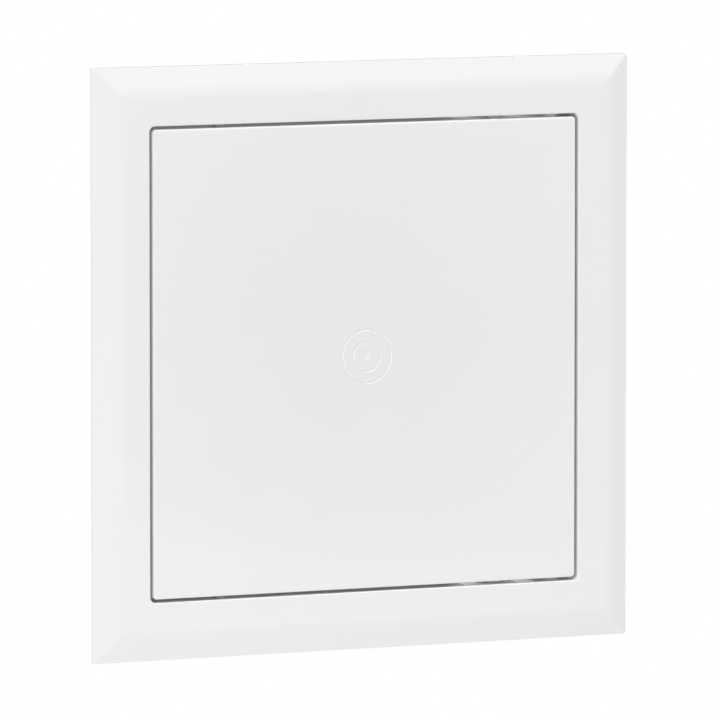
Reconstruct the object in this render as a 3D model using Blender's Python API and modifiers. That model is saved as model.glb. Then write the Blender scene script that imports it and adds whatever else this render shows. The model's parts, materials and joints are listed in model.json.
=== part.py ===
"""Square access panel: a flanged frame with a flush hinged leaf and two snap latches.

The panel stands upright. X runs to the right, Z up and Y into the wall, so the
front faces -Y. The origin is the centre of the opening in the wall plane, which
is the plane of the flange's back face.
"""
import math

import bpy
import bmesh
from mathutils import Matrix, Vector

MM = 0.001

# Flange of the frame, whose width is measured from the opening
FLANGE_WIDTH = 18.1 * MM
FLANGE_DEPTH = 4.2 * MM
FLANGE_SKIN = 1.8 * MM
BEVEL_WIDTH = 5.4 * MM
BEVEL_EASE = 4.4 * MM
BEVEL_DEGREES = 19.0
BACK_LAND = 3.0 * MM
OUTER_CORNER_R = 0.6 * MM

# Opening and collar of the frame
OPENING_SIDE = 146.4 * MM
OPENING_CORNER_R = 1.8 * MM
OPENING_EDGE_R = 0.6 * MM
COLLAR_WALL = 1.6 * MM
COLLAR_DEPTH = 18.0 * MM
COLLAR_CHAMFER = 0.3 * MM

# Leaf
LEAF_GAP = 1.0 * MM
LEAF_CORNER_R = 1.2 * MM
LEAF_EDGE_R = 0.7 * MM
LEAF_SKIN = 2.0 * MM
LEAF_WALL = 1.6 * MM
LEAF_DEPTH = 16.0 * MM
LEAF_DRAFT = 0.1 * MM
RIB_THICKNESS = 1.2 * MM
RIB_HEIGHT = 3.2 * MM
RIBS_EACH_WAY = 3
MARK_RING_RADII = (8.3 * MM, 4.6 * MM)
MARK_GROOVE_R = 0.4 * MM
MARK_DEPTH = 0.25 * MM
MARK_DIMPLE_R = 1.2 * MM

# Hinge, whose axis is vertical
HINGE_INSET = 25.8 * MM
HINGE_SETBACK = 5.5 * MM
PIN_R = 2.0 * MM
PIN_HEAD_R = 3.2 * MM
PIN_HEAD_HEIGHT = 1.2 * MM
PIN_CHAMFER = 0.4 * MM
HINGE_LUG_R = 4.2 * MM
HINGE_LUG_HEIGHT = 2.0 * MM
FRAME_BOSS_R = 4.5 * MM
FRAME_BOSS_HEIGHT = 2.2 * MM

# Snap latches
LATCH_INSET = 25.8 * MM
LATCH_SETBACK = 8.0 * MM
WINDOW_WIDTH = 24.0 * MM
WINDOW_TO_SKIN = 0.4 * MM
WINDOW_TO_COLLAR_END = 3.5 * MM
TONGUE_WIDTH = 12.3 * MM
TONGUE_ROOT_THICKNESS = 1.5 * MM
TONGUE_TIP_THICKNESS = 1.2 * MM
TONGUE_ROOT_LENGTH = 2.8 * MM
TONGUE_TIP_GAP = 0.6 * MM
BUMP_WIDTH = 4.0 * MM
BUMP_BASE = 3.0 * MM
BUMP_TOP = 1.0 * MM
BUMP_ENTRY = 0.7 * MM

# Stops behind the leaf, gussets behind the flange, screw holes in the collar
STOP_WIDTH = 9.0 * MM
STOP_REACH = 2.4 * MM
STOP_THICKNESS = 1.2 * MM
STOP_SLOPE = 2.8 * MM
GUSSET_THICKNESS = 1.2 * MM
GUSSET_FROM_WINDOW = 9.0 * MM
GUSSET_REACH = 2.2 * MM
GUSSET_KEY_DEPTH = 4.7 * MM
GUSSET_DEPTH = 14.0 * MM
SCREW_HOLE_R = 2.1 * MM
SCREW_HEAD_R = 3.6 * MM
SCREW_COUNTERSINK = 1.0 * MM
SCREW_FROM_COLLAR_END = 5.0 * MM
SCREW_FROM_CENTRE = 46.0 * MM

# Clearances and how deep a joined shape runs into its neighbour
SEAT_GAP = 0.3 * MM
OVERLAP = 0.4 * MM

# Looks of the two plastics, with linear colours
ABS_COLOUR = (0.80, 0.80, 0.78)
ABS_ROUGHNESS = 0.28
ACETAL_COLOUR = (0.72, 0.70, 0.63)
ACETAL_ROUGHNESS = 0.40

# Fineness of round shapes, and how near points are joined
WELD_DISTANCE = 0.001 * MM
SMOOTH_BELOW_DEGREES = 30
CORNER_STEPS = 6
EDGE_STEPS = 4
EASE_STEPS = 6
ROUND_STEPS = 32
GROOVE_STEPS = 8

# Places that follow from the sizes above
FRONT_Y = -FLANGE_DEPTH
OPENING_HALF = OPENING_SIDE / 2
OUTER_HALF = OPENING_HALF + FLANGE_WIDTH
FLAT_HALF = OUTER_HALF - BEVEL_WIDTH - BEVEL_EASE
COLLAR_HALF = OPENING_HALF + COLLAR_WALL
SKIN_BACK_Y = FRONT_Y + FLANGE_SKIN
LEAF_HALF = OPENING_HALF - LEAF_GAP
LEAF_BACK_Y = FRONT_Y + LEAF_DEPTH
LEAF_SKIN_BACK_Y = FRONT_Y + LEAF_SKIN
LEAF_INNER_HALF = LEAF_HALF - LEAF_WALL
HINGE_X = -(OPENING_HALF - HINGE_INSET)
HINGE_Y = FRONT_Y + HINGE_SETBACK
BORE_R = PIN_R + SEAT_GAP
LATCH_X = OPENING_HALF - LATCH_INSET
LATCH_Y = FRONT_Y + LATCH_SETBACK
WINDOW_FRONT_Y = SKIN_BACK_Y + WINDOW_TO_SKIN
WINDOW_BACK_Y = COLLAR_DEPTH - WINDOW_TO_COLLAR_END
TONGUE_TIP_Y = WINDOW_FRONT_Y + TONGUE_TIP_GAP
TONGUE_ROOT_Y = WINDOW_BACK_Y - SEAT_GAP
STOP_Y = LEAF_BACK_Y + SEAT_GAP

# Turns about Y that carry a feature of the top wall onto each wall
TOP, RIGHT, BOTTOM, LEFT = range(4)


def clear_scene():
    """Remove every object, so that the part starts from an empty scene."""
    for old in list(bpy.data.objects):
        bpy.data.objects.remove(old, do_unlink=True)


def make_collection(name, parent=None):
    """Make a collection under the scene or under another collection."""
    collection = bpy.data.collections.new(name)
    (parent or bpy.context.scene.collection).children.link(collection)
    return collection


def plastic(name, colour, roughness):
    """Make a plain moulded plastic with its linear colour and roughness."""
    material = bpy.data.materials.new(name)
    material.use_nodes = True
    shader = material.node_tree.nodes["Principled BSDF"]
    shader.inputs["Base Color"].default_value = (*colour, 1.0)
    shader.inputs["Roughness"].default_value = roughness
    shader.inputs["Metallic"].default_value = 0.0
    return material


def object_from_bmesh(name, bm, collection):
    """Turn a bmesh into an object with outward faces."""
    bmesh.ops.recalc_face_normals(bm, faces=bm.faces)
    mesh = bpy.data.meshes.new(name)
    bm.to_mesh(mesh)
    bm.free()
    made = bpy.data.objects.new(name, mesh)
    collection.objects.link(made)
    return made


def hide_operand(operand):
    """Show a Boolean's operand as wire and keep it out of the model."""
    operand.display_type = 'WIRE'
    operand.hide_render = True


def rounded_square(half, radius, y):
    """Corners of a square in the plane y, with each corner as an arc."""
    points = []
    for corner in range(4):
        turn = math.radians(45 + 90 * corner)
        reach = (half - radius) * math.sqrt(2)
        centre = Vector((reach * math.cos(turn), y, reach * math.sin(turn)))
        for step in range(CORNER_STEPS + 1):
            angle = math.radians(90 * corner + 90 * step / CORNER_STEPS)
            points.append(centre + radius * Vector((math.cos(angle), 0, math.sin(angle))))
    return points


def loft_squares(name, section, collection, closed):
    """Loft rounded squares along a section of (half side, y, corner radius).

    A closed section makes a frame. An open one is capped at both ends.
    """
    bm = bmesh.new()
    rings = [[bm.verts.new(point) for point in rounded_square(half, radius, y)] for half, y, radius in section]
    pairs = list(zip(rings, rings[1:]))
    if closed:
        pairs.append((rings[-1], rings[0]))
    for near, far in pairs:
        for index in range(len(near)):
            after = (index + 1) % len(near)
            bm.faces.new((near[index], near[after], far[after], far[index]))
    if not closed:
        bm.faces.new(rings[0])
        bm.faces.new(rings[-1])
    return object_from_bmesh(name, bm, collection)


def on_wall(wall, place):
    """Matrix that sets a feature on one wall of the square.

    In the feature's own axes X points away from the opening's centre, Y into
    the wall cavity and Z along the wall. The place is the world X of a feature
    on the top or bottom wall, and the world Z of one on a side wall.
    """
    away_from_centre = Matrix(((0, 0, -1, 0), (0, 1, 0, 0), (1, 0, 0, 0), (0, 0, 0, 1)))
    along = place if wall in (TOP, LEFT) else -place
    return Matrix.Rotation(math.radians(90 * wall), 4, 'Y') @ Matrix.Translation((along, 0, 0)) @ away_from_centre


def extruded_outline(name, points, thickness, matrix, collection):
    """Extrude a flat outline by half its thickness each way and return it as a mesh object."""
    curve = bpy.data.curves.new(name, 'CURVE')
    curve.dimensions = '2D'
    curve.fill_mode = 'BOTH'
    curve.extrude = thickness / 2
    spline = curve.splines.new('POLY')
    spline.points.add(len(points) - 1)
    for point, (x, y) in zip(spline.points, points):
        point.co = (x, y, 0, 1)
    spline.use_cyclic_u = True
    guide = bpy.data.objects.new(name + "_outline", curve)
    collection.objects.link(guide)
    bpy.context.view_layer.update()
    mesh = bpy.data.meshes.new_from_object(guide.evaluated_get(bpy.context.evaluated_depsgraph_get()))
    bm = bmesh.new()
    bm.from_mesh(mesh)
    bmesh.ops.remove_doubles(bm, verts=bm.verts, dist=WELD_DISTANCE)
    bpy.data.objects.remove(guide, do_unlink=True)
    solid = object_from_bmesh(name, bm, collection)
    solid.matrix_world = matrix
    return solid


def cylinder(name, radius_low, radius_high, low, high, matrix, collection):
    """Make a cylinder or cone along local X, from low to high."""
    bm = bmesh.new()
    along_x = Matrix.Translation(((low + high) / 2, 0, 0)) @ Matrix.Rotation(math.radians(90), 4, 'Y')
    bmesh.ops.create_cone(bm, cap_ends=True, segments=ROUND_STEPS, radius1=radius_low, radius2=radius_high,
                          depth=high - low, matrix=along_x)
    solid = object_from_bmesh(name, bm, collection)
    solid.matrix_world = matrix
    return solid


def block(name, low, high, matrix, collection):
    """Make a box between two corners."""
    bm = bmesh.new()
    size = Vector(high) - Vector(low)
    middle = (Vector(high) + Vector(low)) / 2
    bmesh.ops.create_cube(bm, size=1, matrix=Matrix.Translation(middle) @ Matrix.Diagonal((*size, 1)))
    solid = object_from_bmesh(name, bm, collection)
    solid.matrix_world = matrix
    return solid


def combine(solid, operands, operation):
    """Join a collection of operands to a solid, or cut them from it."""
    for operand in operands.objects:
        hide_operand(operand)
    modifier = solid.modifiers.new(operation.title(), 'BOOLEAN')
    modifier.operation = operation
    modifier.operand_type = 'COLLECTION'
    modifier.collection = operands


def arc(start_degrees, end_degrees, steps):
    """Angles in radians, evenly spread from start to end."""
    span = end_degrees - start_degrees
    return [math.radians(start_degrees + span * step / steps) for step in range(steps + 1)]


def frame_section():
    """Closed section of the frame, from the opening's front edge outwards and round the back."""
    section = []
    for angle in arc(0, 90, EDGE_STEPS):
        inset = OPENING_EDGE_R * (1 - math.cos(angle))
        depth = OPENING_EDGE_R * (1 - math.sin(angle))
        section.append((OPENING_HALF + inset, FRONT_Y + depth, OPENING_CORNER_R + inset))

    # The flat band eases into the plane bevel without a crease.
    bevel = math.radians(BEVEL_DEGREES)
    ease_radius = BEVEL_EASE / math.sin(bevel)
    for angle in arc(0, BEVEL_DEGREES, EASE_STEPS):
        half = FLAT_HALF + ease_radius * math.sin(angle)
        section.append((half, FRONT_Y + ease_radius * (1 - math.cos(angle)), OUTER_CORNER_R))
    bevel_drop = BEVEL_EASE * math.tan(bevel / 2) + BEVEL_WIDTH * math.tan(bevel)
    section.append((OUTER_HALF, FRONT_Y + bevel_drop, OUTER_CORNER_R))

    collar_corner = OPENING_CORNER_R + COLLAR_WALL
    section += [
        (OUTER_HALF, 0, OUTER_CORNER_R),
        (OUTER_HALF - BACK_LAND, 0, OUTER_CORNER_R),
        (FLAT_HALF, SKIN_BACK_Y, OUTER_CORNER_R),
        (COLLAR_HALF, SKIN_BACK_Y, collar_corner),
        (COLLAR_HALF, COLLAR_DEPTH - COLLAR_CHAMFER, collar_corner),
        (COLLAR_HALF - COLLAR_CHAMFER, COLLAR_DEPTH, collar_corner - COLLAR_CHAMFER),
        (OPENING_HALF + COLLAR_CHAMFER, COLLAR_DEPTH, OPENING_CORNER_R + COLLAR_CHAMFER),
        (OPENING_HALF, COLLAR_DEPTH - COLLAR_CHAMFER, OPENING_CORNER_R),
    ]
    return section


def gusset_outline():
    """Fin that fills the flange's hollow, keys into the cut-out and runs down the collar."""
    root = COLLAR_HALF - OVERLAP
    skin = SKIN_BACK_Y - OVERLAP
    rim = FLAT_HALF + OVERLAP
    fin = COLLAR_HALF + GUSSET_REACH
    return [(root, skin), (rim, skin), (rim, -SEAT_GAP), (fin, -SEAT_GAP), (fin, GUSSET_KEY_DEPTH),
            (root, GUSSET_DEPTH)]


def gusset_places():
    """Places along a wall that miss the hinge bosses and the latch windows."""
    beside_window = LATCH_X - WINDOW_WIDTH / 2 - GUSSET_FROM_WINDOW
    near_corner = (LATCH_X + WINDOW_WIDTH / 2 + OPENING_HALF) / 2
    return [-near_corner, -beside_window, 0, beside_window, near_corner]


def stop_outline():
    """Wedge with a flat face towards the leaf, which stops the leaf flush with the flange."""
    tip = OPENING_HALF - STOP_REACH
    root = OPENING_HALF + OVERLAP
    return [(root, STOP_Y), (tip, STOP_Y), (tip, STOP_Y + STOP_THICKNESS), (root, STOP_Y + STOP_THICKNESS + STOP_SLOPE)]


def stop_places():
    """Places of the stops along the wall beside the leaf's free edge, two for each screw hole."""
    inner = SCREW_FROM_CENTRE / 2
    outer = (SCREW_FROM_CENTRE + OPENING_HALF) / 2
    return [-outer, -inner, inner, outer]


def make_frame(parts, joined, cut, material):
    """Flange and collar in one moulding, with its gussets, bosses, stops, windows and holes."""
    frame = loft_squares("frame", frame_section(), parts, closed=True)

    for wall in (TOP, RIGHT, BOTTOM, LEFT):
        for number, place in enumerate(gusset_places()):
            extruded_outline(f"gusset_{wall}_{number}", gusset_outline(), GUSSET_THICKNESS, on_wall(wall, place), joined)
    for number, place in enumerate(stop_places()):
        extruded_outline(f"stop_{number}", stop_outline(), STOP_WIDTH, on_wall(RIGHT, place), joined)

    through = COLLAR_WALL
    for wall in (TOP, BOTTOM):
        hinge = on_wall(wall, HINGE_X) @ Matrix.Translation((0, HINGE_Y, 0))
        cylinder(f"boss_{wall}", FRAME_BOSS_R, FRAME_BOSS_R, COLLAR_HALF - OVERLAP, COLLAR_HALF + FRAME_BOSS_HEIGHT,
                 hinge, joined)
        cylinder(f"bore_{wall}", BORE_R, BORE_R, OPENING_HALF - through, COLLAR_HALF + FRAME_BOSS_HEIGHT + through,
                 hinge, cut)
        block(f"window_{wall}", (OPENING_HALF - through, WINDOW_FRONT_Y, -WINDOW_WIDTH / 2),
              (COLLAR_HALF + through, WINDOW_BACK_Y, WINDOW_WIDTH / 2), on_wall(wall, LATCH_X), cut)

    for wall in (RIGHT, LEFT):
        for place in (-SCREW_FROM_CENTRE, SCREW_FROM_CENTRE):
            screw = on_wall(wall, place) @ Matrix.Translation((0, COLLAR_DEPTH - SCREW_FROM_COLLAR_END, 0))
            cylinder("screw_hole", SCREW_HOLE_R, SCREW_HOLE_R, OPENING_HALF - through, COLLAR_HALF + through, screw, cut)
            cylinder("countersink", SCREW_HEAD_R + OVERLAP, SCREW_HOLE_R, OPENING_HALF - OVERLAP,
                     OPENING_HALF + SCREW_COUNTERSINK, screw, cut)

    combine(frame, joined, 'UNION')
    combine(frame, cut, 'DIFFERENCE')
    frame.data.materials.append(material)
    return frame


def leaf_section():
    """Open section of the leaf, from its front face over the edge and round the return flange."""
    section = []
    for angle in arc(90, 0, EDGE_STEPS):
        inset = LEAF_EDGE_R * (1 - math.cos(angle))
        depth = LEAF_EDGE_R * (1 - math.sin(angle))
        section.append((LEAF_HALF - inset, FRONT_Y + depth, LEAF_CORNER_R - inset))
    inner_corner = LEAF_CORNER_R - LEAF_EDGE_R
    section += [
        (LEAF_HALF - LEAF_DRAFT, LEAF_BACK_Y, LEAF_CORNER_R),
        (LEAF_INNER_HALF, LEAF_BACK_Y, inner_corner),
        (LEAF_INNER_HALF - LEAF_DRAFT, LEAF_SKIN_BACK_Y, inner_corner),
    ]
    return section


def make_leaf(parts, joined, cut, material):
    """Leaf with its return flange, ribs, hinge lugs and latch holes, turning about the hinge axis."""
    leaf = loft_squares("door_leaf", leaf_section(), parts, closed=False)
    root = LEAF_INNER_HALF + OVERLAP
    rib_low = LEAF_SKIN_BACK_Y - OVERLAP
    rib_high = LEAF_SKIN_BACK_Y + RIB_HEIGHT

    pitch = 2 * LEAF_INNER_HALF / (RIBS_EACH_WAY + 1)
    for number in range(RIBS_EACH_WAY):
        place = pitch * (number + 1) - LEAF_INNER_HALF
        for wall in (TOP, RIGHT):
            block(f"rib_{wall}_{number}", (-root, rib_low, -RIB_THICKNESS / 2), (root, rib_high, RIB_THICKNESS / 2),
                  on_wall(wall, place), joined)

    for wall in (TOP, BOTTOM):
        hinge = on_wall(wall, HINGE_X) @ Matrix.Translation((0, HINGE_Y, 0))
        lug_face = LEAF_INNER_HALF - HINGE_LUG_HEIGHT
        cylinder(f"lug_{wall}", HINGE_LUG_R, HINGE_LUG_R, lug_face, root, hinge, joined)
        cylinder(f"lug_bore_{wall}", BORE_R, BORE_R, lug_face - LEAF_WALL, LEAF_HALF + LEAF_WALL, hinge, cut)
        hole_width = BUMP_WIDTH / 2 + SEAT_GAP
        hole_depth = BUMP_BASE / 2 + SEAT_GAP
        block(f"latch_hole_{wall}", (LEAF_INNER_HALF - LEAF_WALL, LATCH_Y - hole_depth, -hole_width),
              (LEAF_HALF + LEAF_WALL, LATCH_Y + hole_depth, hole_width), on_wall(wall, LATCH_X), cut)

    for number, radius in enumerate(MARK_RING_RADII):
        bpy.ops.mesh.primitive_torus_add(major_radius=radius, minor_radius=MARK_GROOVE_R, major_segments=ROUND_STEPS,
                                         minor_segments=GROOVE_STEPS, rotation=(math.radians(90), 0, 0),
                                         location=(0, FRONT_Y - MARK_GROOVE_R + MARK_DEPTH, 0))
        move_to(bpy.context.object, f"mark_ring_{number}", cut)
    dimple_radius = (MARK_DIMPLE_R ** 2 + MARK_DEPTH ** 2) / (2 * MARK_DEPTH)
    bpy.ops.mesh.primitive_uv_sphere_add(radius=dimple_radius, segments=ROUND_STEPS, ring_count=ROUND_STEPS,
                                         rotation=(math.radians(90), 0, 0),
                                         location=(0, FRONT_Y - dimple_radius + MARK_DEPTH, 0))
    move_to(bpy.context.object, "mark_dimple", cut)

    combine(leaf, joined, 'UNION')
    combine(leaf, cut, 'DIFFERENCE')
    leaf.data.materials.append(material)
    set_origin(leaf, Vector((HINGE_X, HINGE_Y, 0)))
    return leaf


def move_to(made, name, collection):
    """Name a new object and move it from the scene's collection to another."""
    made.name = name
    for old in list(made.users_collection):
        old.objects.unlink(made)
    collection.objects.link(made)


def set_origin(solid, origin):
    """Move an object's origin without moving its mesh in space."""
    solid.data.transform(Matrix.Translation(-origin))
    solid.location = origin


def make_pin(name, wall, parts, material):
    """Headed hinge pin, turned about the hinge axis, with its head inside the leaf."""
    head_low = LEAF_INNER_HALF - HINGE_LUG_HEIGHT - SEAT_GAP - PIN_HEAD_HEIGHT
    head_high = head_low + PIN_HEAD_HEIGHT
    tip = COLLAR_HALF + FRAME_BOSS_HEIGHT - SEAT_GAP
    profile = [(0, tip), (PIN_R - PIN_CHAMFER, tip), (PIN_R, tip - PIN_CHAMFER), (PIN_R, head_high),
               (PIN_HEAD_R, head_high), (PIN_HEAD_R, head_low + PIN_CHAMFER), (PIN_HEAD_R - PIN_CHAMFER, head_low),
               (0, head_low)]
    bm = bmesh.new()
    verts = [bm.verts.new((radius, 0, height)) for radius, height in profile]
    for low, high in zip(verts, verts[1:]):
        bm.edges.new((low, high))
    mesh = bpy.data.meshes.new(name)
    bm.to_mesh(mesh)
    bm.free()
    pin = bpy.data.objects.new(name, mesh)
    parts.objects.link(pin)
    screw = pin.modifiers.new("Turn", 'SCREW')
    screw.axis = 'Z'
    screw.angle = math.radians(360)
    screw.steps = ROUND_STEPS
    screw.render_steps = ROUND_STEPS
    screw.use_merge_vertices = True
    screw.merge_threshold = WELD_DISTANCE
    pin.location = (HINGE_X, HINGE_Y, 0)
    pin.rotation_euler = (0, math.radians(90 * wall), 0)
    mesh.materials.append(material)
    return pin


def tongue_outline():
    """Side view of the tongue's plate, thick at its root and thinner at its free end."""
    return [(OPENING_HALF, TONGUE_TIP_Y), (OPENING_HALF + TONGUE_TIP_THICKNESS, TONGUE_TIP_Y),
            (OPENING_HALF + TONGUE_ROOT_THICKNESS, TONGUE_ROOT_Y - TONGUE_ROOT_LENGTH),
            (OPENING_HALF + TONGUE_ROOT_THICKNESS, TONGUE_ROOT_Y), (OPENING_HALF, TONGUE_ROOT_Y)]


def bump_outline():
    """Side view of the bump, with a ramp on each side so that it snaps in and out."""
    tip = LEAF_HALF - BUMP_ENTRY
    root = OPENING_HALF + OVERLAP
    return [(root, LATCH_Y - BUMP_BASE / 2), (root, LATCH_Y + BUMP_BASE / 2),
            (OPENING_HALF, LATCH_Y + BUMP_BASE / 2), (tip, LATCH_Y + BUMP_TOP / 2),
            (tip, LATCH_Y - BUMP_TOP / 2), (OPENING_HALF, LATCH_Y - BUMP_BASE / 2)]


def make_tongue(name, wall, parts, joined, material):
    """Snap tongue in the middle of a latch window, which bends about its root."""
    place = on_wall(wall, LATCH_X)
    tongue = extruded_outline(name, tongue_outline(), TONGUE_WIDTH, place, parts)
    extruded_outline(f"bump_{wall}", bump_outline(), BUMP_WIDTH, place, joined)
    combine(tongue, joined, 'UNION')
    tongue.data.materials.append(material)
    root = Vector((OPENING_HALF + TONGUE_ROOT_THICKNESS / 2, TONGUE_ROOT_Y, 0))
    tongue.data.transform(Matrix.Translation(-root))
    tongue.matrix_world = place @ Matrix.Translation(root)
    return tongue


def smooth_round_faces(solid):
    """Shade the round faces smooth and leave the real edges sharp."""
    solid.data.shade_smooth()
    solid.data.set_sharp_from_angle(angle=math.radians(SMOOTH_BELOW_DEGREES))


def main():
    """Build every piece of the panel."""
    clear_scene()
    parts = make_collection("access_panel")
    operands = make_collection("operands")
    white = plastic("white moulded ABS", ABS_COLOUR, ABS_ROUGHNESS)
    natural = plastic("natural acetal", ACETAL_COLOUR, ACETAL_ROUGHNESS)

    made = [
        make_frame(parts, make_collection("frame_joined", operands), make_collection("frame_cut", operands), white),
        make_leaf(parts, make_collection("leaf_joined", operands), make_collection("leaf_cut", operands), white),
        make_pin("hinge_pin_top", TOP, parts, natural),
        make_pin("hinge_pin_bottom", BOTTOM, parts, natural),
    ]
    for name, wall in (("latch_tongue_top", TOP), ("latch_tongue_bottom", BOTTOM)):
        made.append(make_tongue(name, wall, parts, make_collection(name + "_joined", operands), white))
    for solid in made:
        smooth_round_faces(solid)


main()
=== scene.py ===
"""Looks of a square access panel: a moulded frame, a flush hinged leaf, its pins and snap tongues.

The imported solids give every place. The pieces made here have the same outlines
with finer edges, and stand for the solids in the render.
"""
import json
import logging
import math
from dataclasses import dataclass
from enum import Enum
from typing import Any, Sequence

import bmesh
import bpy
from mathutils import Matrix, Vector


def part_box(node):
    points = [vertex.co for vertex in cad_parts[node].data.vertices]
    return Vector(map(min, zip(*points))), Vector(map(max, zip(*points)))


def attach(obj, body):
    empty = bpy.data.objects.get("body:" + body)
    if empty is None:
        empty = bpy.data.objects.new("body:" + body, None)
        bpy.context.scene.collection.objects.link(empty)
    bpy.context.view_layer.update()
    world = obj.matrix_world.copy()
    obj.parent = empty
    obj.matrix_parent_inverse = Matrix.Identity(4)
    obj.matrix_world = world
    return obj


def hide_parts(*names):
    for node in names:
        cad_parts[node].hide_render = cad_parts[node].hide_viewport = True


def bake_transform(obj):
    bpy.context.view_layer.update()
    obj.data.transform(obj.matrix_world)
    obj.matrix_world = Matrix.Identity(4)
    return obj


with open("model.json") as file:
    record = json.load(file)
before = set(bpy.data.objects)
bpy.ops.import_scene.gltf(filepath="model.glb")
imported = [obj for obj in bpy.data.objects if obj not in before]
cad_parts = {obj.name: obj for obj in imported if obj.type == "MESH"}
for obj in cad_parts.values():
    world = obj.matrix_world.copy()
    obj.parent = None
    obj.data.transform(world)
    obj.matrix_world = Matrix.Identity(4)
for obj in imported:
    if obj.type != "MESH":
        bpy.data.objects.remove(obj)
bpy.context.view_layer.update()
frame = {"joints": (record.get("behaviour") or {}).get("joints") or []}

MM = 0.001

# Points closer than this are one: after a cut or a rounding, and on a turned piece's seam.
WELD_DISTANCE = 0.002 * MM
SEAM_DISTANCE = 0.0005 * MM

# How far a joined solid reaches into its neighbour.
OVERLAP = 0.4 * MM

# Steps of each kind of curve, fine enough for highlights without corners.
CORNER_STEPS = 12  # corner of a square
EDGE_STEPS = 8  # rounded edge of the opening and of the leaf
EASE_STEPS = 16  # the flat band's easing into the bevel
CROWN_STEPS = 5  # edge of a pin's head
TURN_STEPS = 48  # round of a boss, lug, hole or pin
RING_STEPS = 96  # round of a ring groove, the dimple or the card
GROOVE_STEPS = 20  # section of a ring groove
DIMPLE_STEPS = 64  # turn of the dimple's ball

# Edges that turn by more than BROKEN_ABOVE are rounded, and those that still turn by more
# than SHARP_ABOVE are shaded sharp.
BROKEN_ABOVE = math.radians(48)
SHARP_ABOVE = math.radians(32)
EDGE_BREAK_SEGMENTS = 2
FLAT_WEIGHT = 100

# The melt's flow shows as soft patches without grain, and the ripples as smooth waves.
FLOW_DETAIL = 2.0
FLOW_ROUGHNESS = 0.45
RIPPLE_DETAIL = 1.0

# Sockets of the Mix node that carry colours.
MIX_FIRST, MIX_SECOND, MIX_RESULT = 6, 7, 2

log = logging.getLogger("access_panel")


class Wall(Enum):
    """The four walls of the square, each as its quarter turns about Y from the top one."""

    TOP = 0
    RIGHT = 1
    BOTTOM = 2
    LEFT = 3


class Slot(Enum):
    """Material slots of the record."""

    WHITE_ABS = "white_abs"
    NATURAL_ACETAL = "natural_acetal"


def linear_colour(hex_colour: str) -> tuple[float, float, float, float]:
    """Turn an sRGB hex colour into linear values, by the curve of the sRGB standard.

    Args:
        hex_colour: Colour as #RRGGBB.

    Returns:
        Red, green, blue and an alpha of 1.
    """
    values = []
    for start in (1, 3, 5):
        share = int(hex_colour[start:start + 2], 16) / 255
        values.append(share / 12.92 if share <= 0.04045 else ((share + 0.055) / 1.055) ** 2.4)
    return (values[0], values[1], values[2], 1.0)


def add_node(tree: bpy.types.NodeTree, kind: str, sockets: dict[Any, Any] | None = None,
             **settings: Any) -> bpy.types.Node:
    """Add a node with its settings and fill its input sockets.

    Args:
        tree: Node tree that gets the node.
        kind: Blender's name for the kind of node.
        sockets: Input name or number, with a value or another node's output to link.
        **settings: Properties of the node itself.

    Returns:
        The new node.
    """
    node = tree.nodes.new(kind)
    for name, value in settings.items():
        setattr(node, name, value)
    for name, value in (sockets or {}).items():
        if isinstance(value, bpy.types.NodeSocket):
            tree.links.new(value, node.inputs[name])
        else:
            node.inputs[name].default_value = value
    return node


def mix_colours(tree: bpy.types.NodeTree, share: bpy.types.NodeSocket, first: str,
                second: str) -> bpy.types.NodeSocket:
    """Mix two colours.

    Args:
        tree: Node tree that gets the node.
        share: Output that gives the share of the second colour.
        first: First colour, as sRGB hex.
        second: Second colour, as sRGB hex.

    Returns:
        The output that gives the mixed colour.
    """
    node = add_node(tree, "ShaderNodeMix", {
        "Factor": share, MIX_FIRST: linear_colour(first), MIX_SECOND: linear_colour(second),
    }, data_type='RGBA')
    return node.outputs[MIX_RESULT]


@dataclass(frozen=True)
class MouldedPlastic:
    """An injection-moulded thermoplastic, glossy where the steel of the mould was polished.

    Attributes:
        name: Common name of the material and how it was made.
        colour: Colour of the moulding, as sRGB hex.
        flow_colour: Its colour where the melt flowed slower, as sRGB hex.
        ior: Index of refraction.
        roughness_low: Roughness where the mould's polish is best.
        roughness_high: Roughness where it is worst.
        flow_size: Size of the patches of colour and polish, in metres.
        ripple_size: Distance between the ripples that shrinkage leaves, in metres.
        ripple_height: Height of those ripples, in metres.
    """

    name: str
    colour: str
    flow_colour: str
    ior: float
    roughness_low: float
    roughness_high: float
    flow_size: float
    ripple_size: float
    ripple_height: float

    def material(self) -> bpy.types.Material:
        """Make the material.

        Returns:
            A material with the finish's colour, polish and ripples.
        """
        material = bpy.data.materials.new(self.name)
        material.use_nodes = True
        tree = material.node_tree
        shader = tree.nodes["Principled BSDF"]
        shader.inputs["IOR"].default_value = self.ior
        shader.inputs["Metallic"].default_value = 0.0
        place = add_node(tree, "ShaderNodeTexCoord")
        flow = add_node(tree, "ShaderNodeTexNoise", {
            "Vector": place.outputs["Object"], "Scale": 1 / self.flow_size,
            "Detail": FLOW_DETAIL, "Roughness": FLOW_ROUGHNESS,
        })
        tone = mix_colours(tree, flow.outputs["Fac"], self.colour, self.flow_colour)
        polish = add_node(tree, "ShaderNodeMapRange", {
            "Value": flow.outputs["Fac"], "To Min": self.roughness_low,
            "To Max": self.roughness_high,
        })
        ripple = add_node(tree, "ShaderNodeTexNoise", {
            "Vector": place.outputs["Object"], "Scale": 1 / self.ripple_size,
            "Detail": RIPPLE_DETAIL,
        })
        relief = add_node(tree, "ShaderNodeBump", {
            "Height": ripple.outputs["Fac"], "Distance": self.ripple_height, "Strength": 1.0,
        })
        tree.links.new(tone, shader.inputs["Base Color"])
        tree.links.new(polish.outputs["Result"], shader.inputs["Roughness"])
        tree.links.new(relief.outputs["Normal"], shader.inputs["Normal"])
        return material


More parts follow.
